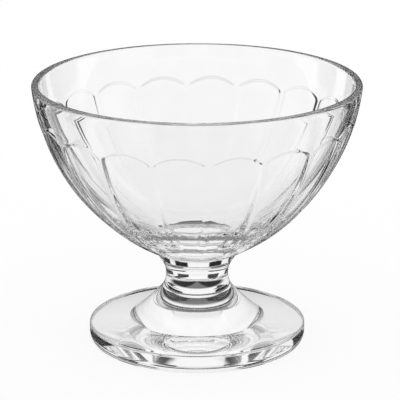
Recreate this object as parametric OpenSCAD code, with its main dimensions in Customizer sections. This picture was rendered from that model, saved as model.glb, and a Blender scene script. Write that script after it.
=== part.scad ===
// Footed dessert coupe in clear pressed glass.
// Three gobs of glass, fused hot at two flat butt joints: a fluted bowl, a waisted stem and a flared foot.
// The foot rests on z = 0, and the z axis is the axis of the glass.

/* [Overall] */
// Height from the table to the lip
glass_h = 90; // [84:0.5:96]
// Outside diameter at the lip
rim_d = 110; // [104:0.5:116]

/* [Bowl] */
// Radius of the arc that the outside of the bowl follows, from the lip down to the stem
bowl_arc_r = 72.8; // [68:0.2:80]
// Thickness of the wall at the lip
wall_t = 2.5; // [2.2:0.1:3]
// How far the arc of the inside is raised, which thickens the wall lower down
wall_swell = 2.2; // [1.6:0.1:3]
// Thickness of glass between the floor of the bowl and its joint with the stem
floor_t = 5.8; // [5:0.1:8]

/* [Flutes] */
// Number of flutes around the bowl
flute_count = 18; // [16:1:20]
// Depth of a flute below the ribs beside it
flute_depth = 0.32; // [0.2:0.02:0.5]
// Width of the rib between two flutes
rib_w = 2.3; // [1.6:0.1:3]
// Distance from the lip down to the top of each flute's arch
flute_drop = 11.5; // [9:0.5:14]
// Radius of that arch
flute_arch_r = 12.3; // [11.5:0.1:14]
// Distance from the axis at which the flutes end under the bowl
flute_end_r = 16.5; // [15:0.5:20]

/* [Stem] */
// Height of the joint between the bowl and the stem
bowl_joint_z = 30.4; // [29:0.1:32]
// Radius of the stem's collar, where it meets the bowl
collar_r = 12.8; // [12:0.1:14]
// Radius of the stem at its waist
waist_r = 10.55; // [9.5:0.05:11]
// Height of the waist
waist_z = 22.9; // [22:0.1:24]
// Radius of the hollow curve of the waist
waist_curve_r = 9.05; // [8.8:0.05:10]
// Height of the joint between the stem and the foot
foot_joint_z = 18.4; // [17:0.1:19.5]

/* [Foot] */
// Diameter of the foot
foot_d = 73.4; // [68:0.2:80]
// Thickness of the foot at its edge
foot_edge_t = 6.1; // [5:0.1:7]
// Radius of the crease where the flare meets the flat rim of the foot
crease_r = 22.8; // [20:0.1:25]
// Height of that crease
crease_z = 7.9; // [7.2:0.1:9]
// Radius of the hollow curve of the flare, from the crease up to the stem
flare_curve_r = 60; // [40:1:90]
// Rounding of the foot's upper edge
foot_top_round = 0.8; // [0.5:0.1:1.6]
// Radius of the arc of the foot's lower edge
foot_base_r = 4.3; // [3.8:0.1:5]
// Height at which that arc meets the upright band of the edge
foot_base_z = 3; // [2.4:0.1:3.4]

/* [Hidden] */
$fn = 96;
clear_glass = [0.88, 0.92, 0.92];
// Rounding arcs are this much larger than tangent ones, so that they cross the faces they round
round_over = 1.01;
// Size of the ball of the bowl's floor, as a share of the ball tangent to the wall arc
floor_over = 1.02;

// Centre of the outer arc through lip and collar, as distance from the axis and height
lip_mid_z = glass_h - wall_t / 2;
chord = [rim_d / 2 - collar_r, lip_mid_z - bowl_joint_z];
arc_offset = sqrt((bowl_arc_r / norm(chord)) ^ 2 - 0.25);
arc_cr = (rim_d / 2 + collar_r) / 2 - arc_offset * chord[1];
arc_cz = (lip_mid_z + bowl_joint_z) / 2 + arc_offset * chord[0];
function outer_r(z) = arc_cr + sqrt(bowl_arc_r ^ 2 - (arc_cz - z) ^ 2);

// Inside of the bowl: a wall arc, and a ball-shaped floor a touch larger than the ball tangent to it
cavity_cz = arc_cz + wall_swell;
cavity_arc_r = bowl_arc_r - wall_t + wall_swell * (arc_cz - glass_h) / bowl_arc_r;
function inner_r(z) = arc_cr + sqrt(cavity_arc_r ^ 2 - (cavity_cz - z) ^ 2);
floor_z = bowl_joint_z + floor_t;
floor_drop = cavity_cz - floor_z;
tangent_ball_r = (cavity_arc_r ^ 2 - arc_cr ^ 2 - floor_drop ^ 2) / (2 * (cavity_arc_r - floor_drop));
floor_ball_r = floor_over * tangent_ball_r;
floor_ball_z = floor_z + floor_ball_r;
// Height at which the line of the two centres meets the wall arc
floor_top_z = cavity_cz - cavity_arc_r * (cavity_cz - floor_ball_z) / norm([arc_cr, cavity_cz - floor_ball_z]);

// Rounded lip, an arc across the top of the wall
lip_r = round_over * (outer_r(lip_mid_z) - inner_r(lip_mid_z)) / 2;
lip_z = glass_h - lip_r;
lip_cr = (outer_r(lip_z) + inner_r(lip_z)) / 2;

// Flutes: where two neighbouring flanks would meet, and half the space that a flute has at the lip
flute_pitch = 360 / flute_count;
flute_apex_r = rib_w / 2 / sin(flute_pitch / 2);
flute_half_w = rim_d / 2 * tan(flute_pitch / 2);
flute_top_z = glass_h - flute_drop;
// Direction of the rib that stands nearest the front of the glass
front_rib_angle = -86;

// Stem and foot
function waist_profile_r(z) = waist_r + waist_curve_r - sqrt(waist_curve_r ^ 2 - (z - waist_z) ^ 2);
foot_joint_r = waist_profile_r(foot_joint_z);
foot_r = foot_d / 2;
// Centre of the flare's hollow curve through the crease and the stem joint
flare_chord = [crease_r - foot_joint_r, foot_joint_z - crease_z];
flare_offset = sqrt((flare_curve_r / norm(flare_chord)) ^ 2 - 0.25);
flare_cr = (crease_r + foot_joint_r) / 2 + flare_offset * flare_chord[1];
flare_cz = (crease_z + foot_joint_z) / 2 + flare_offset * flare_chord[0];
// Slope of the foot's upper face, and the centre of its rounded upper edge
foot_fall = atan2(crease_z - foot_edge_t, foot_r - crease_r);
edge_cr = foot_r - foot_top_round;
edge_cz = foot_edge_t + foot_top_round * tan(foot_fall) - foot_top_round / cos(foot_fall);

module cavity_profile() {
    intersection() {
        translate([arc_cr, cavity_cz])
            circle(cavity_arc_r);
        union() {
            translate([0, floor_ball_z])
                circle(floor_ball_r);
            translate([0, floor_top_z])
                square(rim_d);
        }
    }
}

module bowl_profile() {
    intersection() {
        difference() {
            translate([arc_cr, arc_cz])
                circle(bowl_arc_r);
            cavity_profile();
        }
        union() {
            translate([0, bowl_joint_z])
                square([rim_d, lip_z - bowl_joint_z]);
            translate([lip_cr, lip_z])
                circle(lip_r);
        }
    }
}

// Layer of glass that the flutes remove, from the end of the flutes under the bowl up to their arches
module flute_layer_profile() {
    difference() {
        translate([flute_end_r, bowl_joint_z])
            square([rim_d, flute_top_z - bowl_joint_z]);
        translate([arc_cr, arc_cz])
            circle(bowl_arc_r - flute_depth);
    }
}

// Space of one flute, towards +X: a wedge between two ribs, under a round arch
module flute_space() {
    intersection() {
        linear_extrude(glass_h)
            polygon([
                [flute_apex_r, 0],
                [rim_d, (rim_d - flute_apex_r) * tan(flute_pitch / 2)],
                [rim_d, -(rim_d - flute_apex_r) * tan(flute_pitch / 2)]
            ]);
        rotate([90, 0, 90])
            linear_extrude(rim_d)
                translate([0, flute_top_z - flute_arch_r]) {
                    circle(flute_arch_r);
                    translate([-flute_half_w, -glass_h])
                        square([2 * flute_half_w, glass_h]);
                }
    }
}

module bowl() {
    color(clear_glass)
        difference() {
            rotate_extrude()
                bowl_profile();
            intersection() {
                rotate_extrude()
                    flute_layer_profile();
                for (i = [0 : flute_count - 1])
                    rotate([0, 0, front_rib_angle + (i + 0.5) * flute_pitch])
                        flute_space();
            }
        }
}

module stem() {
    color(clear_glass)
        rotate_extrude()
            difference() {
                translate([0, foot_joint_z])
                    square([collar_r, bowl_joint_z - foot_joint_z]);
                translate([waist_r + waist_curve_r, waist_z])
                    circle(waist_curve_r);
            }
}

// Disc of the foot, whose upper face falls from the axis to the edge
module foot_disc_profile() {
    intersection() {
        polygon([
            [0, 0],
            [foot_r, 0],
            [foot_r, foot_edge_t],
            [0, foot_edge_t + foot_r * tan(foot_fall)]
        ]);
        // Rounded edges
        union() {
            translate([0, foot_base_z])
                square([edge_cr, glass_h]);
            translate([0, foot_base_z])
                square([foot_d, edge_cz - foot_base_z]);
            square([foot_r - foot_base_r, edge_cz]);
            translate([foot_r - foot_base_r, foot_base_z])
                circle(round_over * foot_base_r);
            translate([edge_cr, edge_cz])
                circle(round_over * foot_top_round);
        }
    }
}

// Flare from the disc up to the stem
module foot_flare_profile() {
    difference() {
        translate([0, foot_base_z])
            square([edge_cr, foot_joint_z - foot_base_z]);
        translate([flare_cr, flare_cz])
            circle(flare_curve_r);
    }
}

module foot() {
    color(clear_glass)
        rotate_extrude() {
            foot_disc_profile();
            foot_flare_profile();
        }
}

bowl();
stem();
foot();
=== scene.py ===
import math

import bpy
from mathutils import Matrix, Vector


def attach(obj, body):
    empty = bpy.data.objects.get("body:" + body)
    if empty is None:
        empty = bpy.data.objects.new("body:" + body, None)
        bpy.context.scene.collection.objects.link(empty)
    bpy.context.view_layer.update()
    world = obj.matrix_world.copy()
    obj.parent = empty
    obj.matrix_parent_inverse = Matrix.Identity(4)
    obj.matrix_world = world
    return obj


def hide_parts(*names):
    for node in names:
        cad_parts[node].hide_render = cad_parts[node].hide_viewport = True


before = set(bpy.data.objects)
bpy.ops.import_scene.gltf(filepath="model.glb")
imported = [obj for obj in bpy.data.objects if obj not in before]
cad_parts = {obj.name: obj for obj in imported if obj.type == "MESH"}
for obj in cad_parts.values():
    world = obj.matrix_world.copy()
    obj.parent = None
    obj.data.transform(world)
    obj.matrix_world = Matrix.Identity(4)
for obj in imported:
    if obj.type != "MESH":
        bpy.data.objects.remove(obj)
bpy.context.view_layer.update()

# One millimetre in metres, and one radian in degrees
MM = 0.001
RADIAN = 180.0 / math.pi

# Sizes of the glass in millimetres, its number of flutes and the heading of its front rib, as in the solids
GLASS_H = 90.0
RIM_R = 55.0
LIP_WALL = 2.5
BOWL_ARC_R = 72.8
WALL_SWELL = 2.2
BOWL_FLOOR_T = 5.8
BOWL_JOINT_Z = 30.4
COLLAR_R = 12.8
WAIST_R = 10.55
WAIST_Z = 22.9
WAIST_CURVE_R = 9.05
FOOT_JOINT_Z = 18.4
FOOT_R = 36.7
FOOT_EDGE_T = 6.1
CREASE_R = 22.8
CREASE_Z = 7.9
FLARE_CURVE_R = 60.0
FOOT_TOP_ROUND = 0.8
FOOT_BASE_R = 4.3
FOOT_BASE_Z = 3.0
FLUTES = 18
FLUTE_DROP = 11.5
FLUTE_DEPTH = 0.32
FLUTE_RUNOUT_R = 16.5
FLUTE_ARCH_R = 12.3
FRONT_RIB = math.radians(-86.0)

# Soft edges of the flutes and the foot, and the slight hollow under the foot, which the solids don't have
CREASE_FILLET = 0.5
HOLLOW_RIM_R = 34.0
HOLLOW_H = 0.55
FLUTE_RAMP = 1.3
RIB_FLANK = 2.0
# Flutes get shallower on their way down to the stem: the share of the way that is left, to this power
FLUTE_SHALLOWING = 0.6

# Fineness of the meshes: steps along the outlines, and columns round the glass that gather at the ribs
CAP_STEPS = 4
BOWL_STEPS = 38
ARCH_STEPS = 24
ARCH_SPAN = 8.0
ARCH_MARGIN = 0.3
BAND_STEPS = 5
LIP_STEPS = 14
CAVITY_STEPS = 24
BOWL_FLOOR_STEPS = 12
WAIST_STEPS = 40
COLLAR_STEPS = 4
HOLLOW_STEPS = 12
REST_STEPS = 3
EDGE_BASE_STEPS = 16
EDGE_TOP_STEPS = 12
RING_STEPS = 12
FILLET_STEPS = 10
FLARE_STEPS = 40
COLUMNS_PER_FLUTE = 44
RIB_GATHER = 0.8
# Edges that bend by more than this stay sharp
SHARP_BEND = math.radians(24.0)
WELD_GAP = 1e-6
# Keeps a whole number from falling to the one below it when it is rounded down
ROUND_GUARD = 0.0001
# A face is part of a joint when all its corners are, so that their mean is over this
ALL_CORNERS = 0.999

# Clear glass: its faint tint, its ripple, its roughness and how strongly it bends light
WHITE = (1.0, 1.0, 1.0, 1.0)
FAINT_GREY = (0.985, 0.985, 0.985, 1.0)
TINT_FROM = 0.3
TINT_TO = 0.7
RIPPLE_SCALE = 70.0
RIPPLE_STRENGTH = 0.01
RIPPLE_H = 0.0004
SEED_SCALE = 190.0
MOST_ROUGH = 0.01
GLASS_IOR = 1.5


class Wire:
    """A node socket that takes part in Python arithmetic: an expression on wires adds Math nodes."""

    def __init__(self, tree, socket=None):
        self.tree = tree
        self.socket = socket

    def node(self, kind, settings=None, sockets=None, out=0):
        """Adds a node: its settings first, then the values or links of its sockets."""
        made = self.tree.nodes.new(kind)
        for name, value in (settings or {}).items():
            if name == "stops":
                ramp = made.color_ramp.elements
                while len(ramp) < len(value):
                    ramp.new(0.5)
                for stop, (place, colour) in zip(ramp, value):
                    stop.position = place
                    stop.color = colour
            else:
                setattr(made, name, value)
        for name, value in (sockets or {}).items():
            if isinstance(value, Wire):
                self.tree.links.new(value.socket, made.inputs[name])
            else:
                made.inputs[name].default_value = value
        return Wire(self.tree, made.outputs[out] if len(made.outputs) else None)

    def out(self, name):
        """Another output of the node that this wire comes from."""
        return Wire(self.tree, self.socket.node.outputs[name])

    def maths(self, operation, *values):
        return self.node("ShaderNodeMath", {"operation": operation}, dict(enumerate(values)))

    def fade(self, span, first=0.0, last=1.0):
        """Goes smoothly from first to last while this wire goes through the span."""
        return self.node("ShaderNodeMapRange", {"interpolation_type": "SMOOTHSTEP"}, {
            "Value": self, "From Min": span[0], "From Max": span[1], "To Min": first, "To Max": last})

    def __add__(self, other):
        return self.maths("ADD", self, other)

    def __sub__(self, other):
        return self.maths("SUBTRACT", self, other)

    def __rsub__(self, other):
        return self.maths("SUBTRACT", other, self)

    def __mul__(self, other):
        return self.maths("MULTIPLY", self, other)

    def __truediv__(self, other):
        return self.maths("DIVIDE", self, other)

    def __rtruediv__(self, other):
        return self.maths("DIVIDE", other, self)

    def __mod__(self, other):
        return self.maths("FLOORED_MODULO", self, other)

    def __rmod__(self, other):
        return self.maths("FLOORED_MODULO", other, self)

    __radd__ = __add__
    __rmul__ = __mul__


def cleared(owner):
    """Drawing board of a material or a world whose nodes start from nothing."""
    owner.use_nodes = True
    owner.node_tree.nodes.clear()
    return Wire(owner.node_tree)


def cap(radius, height):
    """Flat cap over a joint, from the axis outwards, without its outer point."""
    return [(radius * i / CAP_STEPS, height) for i in range(CAP_STEPS)]


def arc(centre, radius, first, last, steps):
    """Points of an arc in the (distance from the axis, height) plane, both ends included."""
    turns = [first + (last - first) * i / steps for i in range(steps + 1)]
    return [(centre[0] + radius * math.cos(a), centre[1] + radius * math.sin(a)) for a in turns]


# Outside of the bowl: one arc from the collar to the lip
lip_mid_z = GLASS_H - LIP_WALL / 2
chord_r = RIM_R - COLLAR_R
chord_z = lip_mid_z - BOWL_JOINT_Z
arc_offset = math.sqrt((BOWL_ARC_R / math.hypot(chord_r, chord_z)) ** 2 - 0.25)
ARC_CR = (RIM_R + COLLAR_R) / 2 - arc_offset * chord_z
ARC_CZ = (lip_mid_z + BOWL_JOINT_Z) / 2 + arc_offset * chord_r


def bowl_profile():
    """Closed outline of the bowl from the joint's middle round the lip to the middle of the floor."""
    cavity_cz = ARC_CZ + WALL_SWELL
    cavity_r = BOWL_ARC_R - LIP_WALL + WALL_SWELL * (ARC_CZ - GLASS_H) / BOWL_ARC_R
    floor_z = BOWL_JOINT_Z + BOWL_FLOOR_T
    drop = cavity_cz - floor_z
    ball_r = (cavity_r ** 2 - ARC_CR ** 2 - drop ** 2) / (2 * (cavity_r - drop))
    ball_z = floor_z + ball_r
    meet = math.atan2(ball_z - cavity_cz, -ARC_CR)
    inner_lip_r = ARC_CR + math.sqrt(cavity_r ** 2 - (cavity_cz - lip_mid_z) ** 2)
    lip_r = (RIM_R - inner_lip_r) / 2
    lip_top = GLASS_H - lip_r
    low = math.asin((BOWL_JOINT_Z - ARC_CZ) / BOWL_ARC_R)
    high = math.asin((lip_top - ARC_CZ) / BOWL_ARC_R)
    inner_high = math.asin((lip_top - cavity_cz) / cavity_r)
    # Rows lie closer together where the arches of the flutes are
    arch_high = math.asin((GLASS_H - FLUTE_DROP + ARCH_MARGIN - ARC_CZ) / BOWL_ARC_R)
    arch_low = arch_high - ARCH_SPAN / BOWL_ARC_R
    outside = (arc((ARC_CR, ARC_CZ), BOWL_ARC_R, low, arch_low, BOWL_STEPS)[:-1]
               + arc((ARC_CR, ARC_CZ), BOWL_ARC_R, arch_low, arch_high, ARCH_STEPS)[:-1]
               + arc((ARC_CR, ARC_CZ), BOWL_ARC_R, arch_high, high, BAND_STEPS))
    inside = arc((ARC_CR, cavity_cz), cavity_r, inner_high, meet, CAVITY_STEPS)
    lip_cr = (outside[-1][0] + inside[0][0]) / 2
    lip_half = (outside[-1][0] - inside[0][0]) / 2
    lip = [(lip_cr + lip_half * math.cos(a), lip_top + lip_r * math.sin(a))
           for a in (math.pi * i / LIP_STEPS for i in range(1, LIP_STEPS))]
    ball = arc((0.0, ball_z), ball_r, meet, -math.pi / 2, BOWL_FLOOR_STEPS)
    return cap(COLLAR_R, BOWL_JOINT_Z), outside, lip + inside + ball[1:]


def stem_profile():
    """Closed outline of the stem from joint to joint."""
    centre = (WAIST_R + WAIST_CURVE_R, WAIST_Z)
    low = math.pi + math.asin((WAIST_Z - FOOT_JOINT_Z) / WAIST_CURVE_R)
    high = math.pi - math.acos((centre[0] - COLLAR_R) / WAIST_CURVE_R)
    waist = arc(centre, WAIST_CURVE_R, low, high, WAIST_STEPS)
    collar_low = waist[-1][1]
    collar = [(COLLAR_R, collar_low + (BOWL_JOINT_Z - collar_low) * i / COLLAR_STEPS)
              for i in range(1, COLLAR_STEPS + 1)]
    return cap(waist[0][0], FOOT_JOINT_Z), waist + collar, cap(COLLAR_R, BOWL_JOINT_Z)[::-1]


def foot_profile():
    """Closed outline of the foot from the middle of its underside over its edge and flare to the joint."""
    stem_r = WAIST_R + WAIST_CURVE_R - math.sqrt(WAIST_CURVE_R ** 2 - (FOOT_JOINT_Z - WAIST_Z) ** 2)
    # Hollow curve of the flare, through the crease and the joint
    flare_run, flare_rise = CREASE_R - stem_r, FOOT_JOINT_Z - CREASE_Z
    flare_offset = math.sqrt((FLARE_CURVE_R / math.hypot(flare_run, flare_rise)) ** 2 - 0.25)
    flare_cr = (CREASE_R + stem_r) / 2 + flare_offset * flare_rise
    flare_cz = (CREASE_Z + FOOT_JOINT_Z) / 2 + flare_offset * flare_run
    fall = math.atan2(CREASE_Z - FOOT_EDGE_T, FOOT_R - CREASE_R)
    # Edge of the foot: an arc from the table to an upright band, and a rounding to the falling face
    edge_cr = FOOT_R - FOOT_TOP_ROUND
    edge_cz = FOOT_EDGE_T + FOOT_TOP_ROUND * math.tan(fall) - FOOT_TOP_ROUND / math.cos(fall)
    base_turn = -math.asin(FOOT_BASE_Z / FOOT_BASE_R)
    edge = arc((FOOT_R - FOOT_BASE_R, FOOT_BASE_Z), FOOT_BASE_R, base_turn, 0.0, EDGE_BASE_STEPS)
    edge += arc((edge_cr, edge_cz), FOOT_TOP_ROUND, 0.0, math.pi / 2 - fall, EDGE_TOP_STEPS)
    # Underside: a shallow hollow in the middle of a flat resting face
    hollow_r = (HOLLOW_RIM_R ** 2 + HOLLOW_H ** 2) / (2 * HOLLOW_H)
    hollow_turn = math.pi / 2 - math.asin(HOLLOW_RIM_R / hollow_r)
    base = arc((0.0, HOLLOW_H - hollow_r), hollow_r, math.pi / 2, hollow_turn, HOLLOW_STEPS)
    base = [(0.0, HOLLOW_H)] + base[1:]
    base += [(HOLLOW_RIM_R + (edge[0][0] - HOLLOW_RIM_R) * i / REST_STEPS, 0.0)
             for i in range(1, REST_STEPS)]
    # Fillet in the crease: a small ball that touches the falling face and the flare
    reach = FLARE_CURVE_R - CREASE_FILLET
    face_z = FOOT_EDGE_T + FOOT_R * math.tan(fall) + CREASE_FILLET / math.cos(fall)
    slope = -math.tan(fall)
    lift = face_z - flare_cz
    a, b, c = 1 + slope ** 2, 2 * (slope * lift - flare_cr), flare_cr ** 2 + lift ** 2 - reach ** 2
    ball_cr = (-b - math.sqrt(b * b - 4 * a * c)) / (2 * a)
    ball_cz = face_z + slope * ball_cr
    low_turn = math.atan2(ball_cz - flare_cz, ball_cr - flare_cr)
    high_turn = math.atan2(FOOT_JOINT_Z - flare_cz, stem_r - flare_cr)
    fillet = arc((ball_cr, ball_cz), CREASE_FILLET, -math.pi / 2 - fall, low_turn, FILLET_STEPS)
    ring_in = fillet[0]
    ring_out = edge[-1]
    ring = [(ring_out[0] + (ring_in[0] - ring_out[0]) * i / RING_STEPS,
             ring_out[1] + (ring_in[1] - ring_out[1]) * i / RING_STEPS) for i in range(1, RING_STEPS)]
    flare = arc((flare_cr, flare_cz), FLARE_CURVE_R, low_turn, high_turn, FLARE_STEPS)
    return base, edge + ring + fillet + flare[1:], cap(stem_r, FOOT_JOINT_Z)[::-1]


def lathe_tree():
    """Turns an outline round the axis, and presses flutes into the part of it that is marked as fluted."""
    tree = bpy.data.node_groups.new("turned_glass", "GeometryNodeTree")
    for name, kind in (("Outline", "Geometry"), ("Flutes", "Int"), ("Columns", "Int"),
                       ("Flute depth", "Float"), ("Glass", "Material"), ("Joint", "Material")):
        tree.interface.new_socket(name, in_out="INPUT", socket_type="NodeSocket" + kind)
    tree.interface.new_socket("Glass piece", in_out="OUTPUT", socket_type="NodeSocketGeometry")
    board = Wire(tree)
    given = board.node("NodeGroupInput", out="Outline")
    outline, flutes = given, given.out("Flutes")
    columns, depth = given.out("Columns"), given.out("Flute depth")
    count = board.node("GeometryNodeAttributeDomainSize", {"component": "MESH"}, {"Geometry": outline},
                       "Point Count")
    rings = flutes * columns
    sheet = board.node("GeometryNodeMeshGrid", None,
                       {"Vertices X": rings + 1, "Vertices Y": count}, "Mesh")
    index = board.node("GeometryNodeInputIndex")
    ring = board.maths("FLOOR", (index + 0.5) / count)
    step = index - ring * count

    def outline_sample(kind, value):
        return board.node("GeometryNodeSampleIndex", {"data_type": kind},
                          {"Geometry": outline, "Value": value, "Index": step}, "Value")

    def outline_value(name, kind):
        return outline_sample(kind, board.node("GeometryNodeInputNamedAttribute", {"data_type": kind},
                                               {"Name": name}, "Attribute"))

    place = outline_sample("FLOAT_VECTOR", board.node("GeometryNodeInputPosition"))
    axes = board.node("ShaderNodeSeparateXYZ", None, {0: place}, "X")
    radius, height = axes, axes.out("Z")
    fluted = outline_value("fluted", "FLOAT")
    # Columns gather at the ribs, where the surface turns most
    share = (ring % columns) / columns
    bunched = share - board.maths("SINE", share * math.tau) * (RIB_GATHER / math.tau)
    pitch = math.tau / flutes
    across = (bunched - 0.5) * pitch
    turn = board.maths("FLOOR", ring / columns + ROUND_GUARD) * pitch + bunched * pitch + FRONT_RIB
    # A shallow panel with narrow ribs between: flanks rise to the ribs, and a ramp rises to the arch
    arc_out = (radius - ARC_CR * MM) / (BOWL_ARC_R * MM)
    arc_up = (height - ARC_CZ * MM) / (BOWL_ARC_R * MM)
    top_z = GLASS_H - FLUTE_DROP
    top_turn = math.asin((ARC_CZ - top_z) / BOWL_ARC_R)
    top_r = ARC_CR + BOWL_ARC_R * math.cos(top_turn)
    down = (board.maths("ARCSINE", arc_up * -1.0) - top_turn) * (BOWL_ARC_R * MM)
    aside = across * radius
    under_arch = down - aside * aside / (2 * FLUTE_ARCH_R * MM)
    from_rib = (0.5 - board.maths("ABSOLUTE", bunched - 0.5)) * pitch * radius
    flank = from_rib.fade((0.0, RIB_FLANK * MM))
    ramp = under_arch.fade((0.0, FLUTE_RAMP * MM))
    left = board.maths("MAXIMUM", (radius - FLUTE_RUNOUT_R * MM) / ((top_r - FLUTE_RUNOUT_R) * MM), 0.0)
    cut = depth * board.maths("POWER", left, FLUTE_SHALLOWING) * flank * ramp * fluted
    cut_r = radius - cut * arc_out
    cut_z = height - cut * arc_up
    spot = board.node("ShaderNodeCombineXYZ", None, {
        0: cut_r * board.maths("COSINE", turn),
        1: cut_r * board.maths("SINE", turn),
        2: cut_z,
    })
    joint = outline_value("joint", "FLOAT")
    kept = board.node("GeometryNodeStoreNamedAttribute", {"data_type": "FLOAT"},
                      {"Geometry": sheet, "Name": "joint", "Value": joint})
    turned = board.node("GeometryNodeSetPosition", None, {"Geometry": kept, "Position": spot})
    closed = board.node("GeometryNodeMergeByDistance", None, {"Geometry": turned, "Distance": WELD_GAP})
    smooth = board.node("GeometryNodeSetShadeSmooth", {"domain": "FACE"}, {"Geometry": closed})
    bend = board.node("GeometryNodeInputMeshEdgeAngle", out="Unsigned Angle")
    sharp = board.node("FunctionNodeCompare", {"data_type": "FLOAT", "operation": "GREATER_THAN"},
                       {0: bend, 1: SHARP_BEND})
    eased = board.node("GeometryNodeSetShadeSmooth", {"domain": "EDGE"},
                       {"Geometry": smooth, "Selection": sharp, "Shade Smooth": False})
    whole = board.node("GeometryNodeRealizeInstances", None, {"Geometry": eased})
    glazed = board.node("GeometryNodeSetMaterial", None,
                        {"Geometry": whole, "Material": given.out("Glass")})
    cap_value = board.node("GeometryNodeInputNamedAttribute", {"data_type": "FLOAT"}, {"Name": "joint"},
                           "Attribute")
    capped = board.node("FunctionNodeCompare", {"data_type": "FLOAT", "operation": "GREATER_THAN"},
                        {0: cap_value, 1: ALL_CORNERS})
    fused = board.node("GeometryNodeSetMaterial", None,
                       {"Geometry": glazed, "Selection": capped, "Material": given.out("Joint")})
    board.node("NodeGroupOutput", None, {"Glass piece": fused})
    return tree


def turned_piece(name, chain, tree, inputs):
    """A named mesh turned from an outline: a list of (radius, height, fluted, joint)."""
    outline = bpy.data.meshes.new(name + "_outline")
    outline.from_pydata([(r * MM, 0.0, z * MM) for r, z, _, _ in chain],
                        [(i, i + 1) for i in range(len(chain) - 1)], [])
    for column, mark in ((2, "fluted"), (3, "joint")):
        values = outline.attributes.new(mark, "FLOAT", "POINT")
        values.data.foreach_set("value", [float(p[column]) for p in chain])
    piece = bpy.data.objects.new(name, outline)
    bpy.context.scene.collection.objects.link(piece)
    lathe = piece.modifiers.new("lathe", "NODES")
    lathe.node_group = tree
    for item in tree.interface.items_tree:
        if item.in_out == "INPUT" and item.name in inputs:
            lathe[item.identifier] = inputs[item.name]
    ready = piece.evaluated_get(bpy.context.evaluated_depsgraph_get())
    mesh = bpy.data.meshes.new_from_object(ready)
    piece.modifiers.remove(lathe)
    piece.data = mesh
    mesh.name = name
    for mark in ("fluted", "joint"):
        if mark in mesh.attributes:
            mesh.attributes.remove(mesh.attributes[mark])
    return piece


def clear_glass():
    """Clear pressed glass: fire-polished, with the slight unevenness that a mould leaves."""
    material = bpy.data.materials.new("clear_pressed_glass")
    board = cleared(material)
    spot = board.node("ShaderNodeTexCoord", out="Object")
    ripple = board.node("ShaderNodeTexNoise", {"noise_dimensions": "3D"},
                        {"Vector": spot, "Scale": RIPPLE_SCALE, "Detail": 1.0, "Roughness": 0.4})
    seed = board.node("ShaderNodeTexNoise", {"noise_dimensions": "3D"},
                      {"Vector": spot, "Scale": SEED_SCALE, "Detail": 2.0, "Roughness": 0.5})
    tint = board.node("ShaderNodeValToRGB", {"stops": [(TINT_FROM, FAINT_GREY), (TINT_TO, WHITE)]},
                      {"Fac": seed})
    bump = board.node("ShaderNodeBump", None,
                      {"Strength": RIPPLE_STRENGTH, "Distance": RIPPLE_H, "Height": ripple})
    glass = board.node("ShaderNodeBsdfPrincipled", None, {
        "Base Color": tint,
        "Roughness": seed * MOST_ROUGH,
        "IOR": GLASS_IOR,
        "Transmission Weight": 1.0,
        "Normal": bump,
    })
    board.node("ShaderNodeOutputMaterial", None, {"Surface": glass})
    return material


def fused_joint():
    """Seam between two gobs that were fused hot: nothing of it shows, so light goes straight through."""
    material = bpy.data.materials.new("fused_joint")
    board = cleared(material)
    seam = board.node("ShaderNodeBsdfTransparent")
    board.node("ShaderNodeOutputMaterial", None, {"Surface": seam})
    return material


def build_glass():
    tree = lathe_tree()
    glass, joint = clear_glass(), fused_joint()
    common = {"Flutes": FLUTES, "Columns": COLUMNS_PER_FLUTE, "Glass": glass, "Joint": joint,
              "Flute depth": FLUTE_DEPTH * MM}
    # The last point of each joint's cap is also the first or last of the wall, so that the cap reaches it
    base, outside, rest = bowl_profile()
    bowl = [(r, z, 0, 1) for r, z in base] + [(*outside[0], 1, 1)]
    bowl += [(r, z, 1, 0) for r, z in outside[1:]] + [(r, z, 0, 0) for r, z in rest]
    base, side, top = stem_profile()
    stem = [(r, z, 0, 1) for r, z in base] + [(*side[0], 0, 1)]
    stem += [(r, z, 0, 0) for r, z in side[1:-1]] + [(*side[-1], 0, 1)] + [(r, z, 0, 1) for r, z in top]
    base, side, top = foot_profile()
    foot = [(r, z, 0, 0) for r, z in base + side[:-1]]
    foot += [(*side[-1], 0, 1)] + [(r, z, 0, 1) for r, z in top]
    for name, node, outline in (("fluted_bowl", "bowl", bowl), ("waisted_stem", "stem", stem),
                                ("flared_foot", "foot", foot)):
        piece = turned_piece(name, outline, tree, common)
        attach(piece, "root")
        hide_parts(node)


build_glass()

# Stage: a white sweep, and soft white light all round
FLOOR_GAP = 0.0002
FLOOR_HALF = 4.0
SHADOW_SHARE = 0.12

# What the glass refracts: a white tent with dark gaps. Angles are in degrees, of heading from straight ahead
# or of height, and a pair of them is the span over which a value changes. DARK is the share of light that is
# taken away, LIGHT the share that is left, and a SIDE_SHARE how much of the darkness there is at the sides.

# White panels of the tent: both edges level with the glass, then both edges low down
PANELS = ((-14.0, 10.5, -27.0, 30.0), (-52.0, -33.0, -90.0, -36.0), (28.0, 38.0, 46.0, 90.0),
          (-102.0, -78.0, -104.0, -76.0), (121.0, 149.0, 119.0, 151.0), (80.0, 100.0, 80.0, 100.0),
          (172.0, 188.0, 172.0, 188.0), (-145.0, -125.0, -145.0, -125.0))
PANEL_EDGE = (-1.0, 1.0)
# Heights between which the panels go from their low edges to their level ones, on either side
LOW_ON_LEFT = (-44.0, -18.0)
LOW_ON_RIGHT = (-32.0, -16.0)
LEFT_TO_RIGHT = (-5.0, 5.0)
# Gaps between the panels: they end lower ahead than aside, and are weaker at the sides
GAP_DARK = 0.98
GAP_FOOT = (-50.0, -40.0)
GAP_TOP_AHEAD = (-9.0, -5.0)
GAP_TOP_ASIDE = (0.0, 4.0)
AHEAD_TO_ASIDE = (36.0, 40.0)
GAP_SIDES = (72.0, 86.0)
GAP_SIDE_SHARE = 0.5
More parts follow.
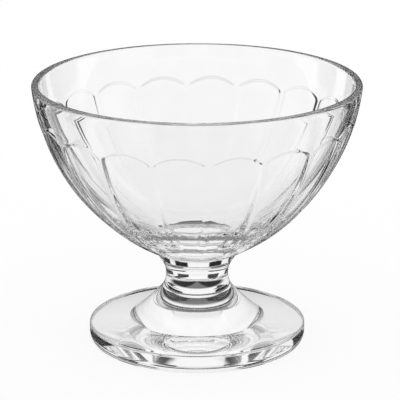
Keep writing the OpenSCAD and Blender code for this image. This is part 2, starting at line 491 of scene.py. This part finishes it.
# Dark strip over the gaps, higher and fainter straight ahead, and weaker at the sides
STRIP_FROM = (3.0, 6.0)
STRIP_TO = (10.0, 14.0)
STRIP_AHEAD = (12.0, 16.0)
STRIP_LIFT = 5.0
STRIP_DARK_AHEAD = 0.15
STRIP_DARK_ASIDE = 0.95
STRIP_SIDES = (60.0, 75.0)
STRIP_SIDE_SHARE = 0.4
# Painted shade for the arches of the flutes: a faint dark line low in the surroundings, which draws the
# arches
ARCH_SHADE_FROM = (-12.0, -9.5)
ARCH_SHADE_TO = (-7.5, -5.0)
ARCH_SHADE_TURN = (30.0, 40.0)
ARCH_SHADE_DARK = 0.15
# Dark room on the camera's side
ROOM_TURN = (108.0, 130.0)
ROOM_FROM = (10.0, 20.0)
ROOM_TO = (65.0, 80.0)
ROOM_DARK = 0.9
# Dimmer ceiling, and painted shade of the table close under the glass
CEILING_FROM = (37.0, 45.0)
CEILING_LIGHT = 0.25
TABLE_TO = (-54.0, -42.0)
TABLE_AHEAD = (14.0, 24.0)
TABLE_LIGHT_AHEAD = 0.2
TABLE_LIGHT_ASIDE = 0.03
TABLE_SIDES = (66.0, 80.0)
TABLE_LIGHT_SIDES = 0.6
# What the outside of the glass mirrors: darkness, and a little light from above
MIRROR_FROM = (35.0, 70.0)
MIRROR_LIGHT = 0.05

CAMERA_LENS = 207.6
CAMERA_SENSOR = 36.0
CAMERA_CLIP = (0.05, 20.0)
CAMERA_PLACE = (0.0, -0.7432, 0.2783)
CAMERA_AIM = (0.001, 0.0, 0.0485)
LIGHT_BOUNCES = 32


def stage_floor():
    mesh = bpy.data.meshes.new("sweep")
    h = FLOOR_HALF
    mesh.from_pydata([(-h, -h, -FLOOR_GAP), (h, -h, -FLOOR_GAP), (h, h, -FLOOR_GAP), (-h, h, -FLOOR_GAP)],
                     [], [(0, 1, 2, 3)])
    floor = bpy.data.objects.new("sweep", mesh)
    bpy.context.scene.collection.objects.link(floor)
    material = bpy.data.materials.new("white_sweep")
    board = cleared(material)
    paper = board.node("ShaderNodeBsdfDiffuse", None, {"Color": WHITE})
    glow = board.node("ShaderNodeEmission", None, {"Color": WHITE, "Strength": 1.0})
    both = board.node("ShaderNodeMixShader", None, {0: SHADOW_SHARE, 1: glow, 2: paper})
    board.node("ShaderNodeOutputMaterial", None, {"Surface": both})
    mesh.materials.append(material)
    floor.visible_glossy = False
    floor.visible_transmission = False


def stage_light():
    world = bpy.data.worlds.new("studio")
    board = cleared(world)
    way = board.node("ShaderNodeSeparateXYZ", None,
                     {0: board.node("ShaderNodeTexCoord", out="Generated")}, "X")
    turn = board.maths("ARCTAN2", way, way.out("Y")) * RADIAN
    rise = board.maths("ARCSINE", way.out("Z")) * RADIAN
    round_turn = board.maths("ABSOLUTE", turn)
    low = rise.fade(LOW_ON_LEFT, 1.0, 0.0)
    low = low + (rise.fade(LOW_ON_RIGHT, 1.0, 0.0) - low) * turn.fade(LEFT_TO_RIGHT)
    light = 0.0
    for left, right, low_left, low_right in PANELS:
        centre = (left + right) / 2 + low * ((low_left + low_right - left - right) / 2)
        half = (right - left) / 2 + low * ((low_right - low_left - right + left) / 2)
        off = board.maths("ABSOLUTE", (turn - centre + 180.0) % 360.0 - 180.0) - half
        light = board.maths("MAXIMUM", light, off.fade(PANEL_EDGE, 1.0, 0.0))
    aside = round_turn.fade(AHEAD_TO_ASIDE)
    gap = (rise.fade(GAP_TOP_AHEAD, GAP_DARK, 0.0) * (1.0 - aside)
           + rise.fade(GAP_TOP_ASIDE, GAP_DARK, 0.0) * aside)
    gap = rise.fade(GAP_FOOT) * gap * round_turn.fade(GAP_SIDES, 1.0, GAP_SIDE_SHARE)
    tent = 1.0 - (1.0 - light) * gap
    climb = rise - round_turn.fade(STRIP_AHEAD, STRIP_LIFT, 0.0)
    strip = climb.fade(STRIP_FROM) * climb.fade(STRIP_TO, 1.0, 0.0)
    strip = strip * round_turn.fade(STRIP_AHEAD, STRIP_DARK_AHEAD, STRIP_DARK_ASIDE)
    strip = strip * round_turn.fade(STRIP_SIDES, 1.0, STRIP_SIDE_SHARE)
    # Painted shade for the arches of the flutes: a faint dark line low down and ahead
    arch_shade = rise.fade(ARCH_SHADE_FROM) * rise.fade(ARCH_SHADE_TO, ARCH_SHADE_DARK, 0.0)
    arch_shade = arch_shade * round_turn.fade(ARCH_SHADE_TURN, 1.0, 0.0)
    room = round_turn.fade(ROOM_TURN) * rise.fade(ROOM_FROM) * rise.fade(ROOM_TO, ROOM_DARK, 0.0)
    ceiling = rise.fade(CEILING_FROM, 1.0, CEILING_LIGHT)
    # Painted shade of the table under the glass: little light is left from low down, a bit more ahead and
    # most at the sides
    table_light = (round_turn.fade(TABLE_AHEAD, TABLE_LIGHT_AHEAD, TABLE_LIGHT_ASIDE)
                   + round_turn.fade(TABLE_SIDES, 0.0, TABLE_LIGHT_SIDES))
    above_table = rise.fade(TABLE_TO)
    table = above_table + (1.0 - above_table) * table_light
    through = tent * (1.0 - strip) * (1.0 - room) * (1.0 - arch_shade) * ceiling * table
    mirrored = rise.fade(MIRROR_FROM, 0.0, MIRROR_LIGHT)
    # The camera itself and matt surfaces see only white
    path = board.node("ShaderNodeLightPath", out="Is Camera Ray")
    glass = through + (mirrored - through) * path.out("Is Reflection Ray")
    plain = board.maths("MAXIMUM", path, path.out("Is Diffuse Ray"))
    level = board.maths("MAXIMUM", plain, glass)
    sky = board.node("ShaderNodeBackground", None, {"Color": WHITE, "Strength": level})
    board.node("ShaderNodeOutputWorld", None, {"Surface": sky})
    bpy.context.scene.world = world


def stage_camera():
    data = bpy.data.cameras.new("camera")
    data.lens = CAMERA_LENS
    data.sensor_width = CAMERA_SENSOR
    data.clip_start, data.clip_end = CAMERA_CLIP
    camera = bpy.data.objects.new("camera", data)
    bpy.context.scene.collection.objects.link(camera)
    camera.location = CAMERA_PLACE
    sight = Vector(CAMERA_AIM) - camera.location
    camera.rotation_euler = sight.to_track_quat("-Z", "Y").to_euler()
    bpy.context.scene.camera = camera


stage_floor()
stage_light()
stage_camera()
scene = bpy.context.scene
scene.view_settings.view_transform = "Standard"
scene.cycles.max_bounces = LIGHT_BOUNCES
scene.cycles.transmission_bounces = LIGHT_BOUNCES
scene.cycles.glossy_bounces = LIGHT_BOUNCES
scene.cycles.transparent_max_bounces = LIGHT_BOUNCES

bpy.context.view_layer.update()
